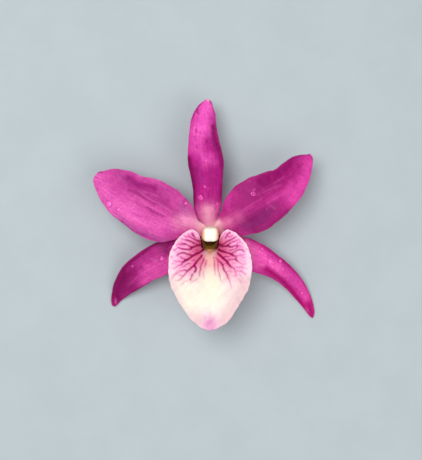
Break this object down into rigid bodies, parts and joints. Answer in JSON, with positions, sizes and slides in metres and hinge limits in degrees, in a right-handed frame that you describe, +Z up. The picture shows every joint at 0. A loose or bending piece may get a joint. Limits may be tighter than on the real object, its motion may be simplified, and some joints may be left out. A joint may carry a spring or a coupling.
{
  "type": "dendrobium orchid bloom",
  "caption": "Picked dendrobium orchid bloom with spreading sepals and petals, a frilled pale lip, column, anther cap and curved pedicel, lying face up on a surface.",
  "frame": {"origin": "middle of the bloom's box on the surface that it lies on", "axes": "+Z up, the way the flower faces; +Y from the tip of the lip towards the tip of the dorsal sepal"},
  "size_m": [0.0614, 0.063, 0.0188],
  "materials": {
    "sepal": "satin living tissue with a fine crystalline glint, deep magenta-pink",
    "petal": "satin living tissue with fine lengthwise veins, bright magenta-pink",
    "lip": "soft satin, cream to blush pink with dark magenta branching veins",
    "column": "waxy, greenish cream",
    "anther_cap": "waxy cream white",
    "pollinia": "waxy yellow",
    "pedicel": "smooth, reddish brown to green"
  },
  "bodies": {
    "root": {"dorsal_sepal": "sepal", "petal_left": "petal", "petal_right": "petal", "lateral_sepal_left": "sepal", "lateral_sepal_right": "sepal", "lip": "lip", "column": "column", "anther_cap": "anther_cap", "pollinia": "pollinia", "pedicel": "pedicel"}
  },
  "joints": []
}
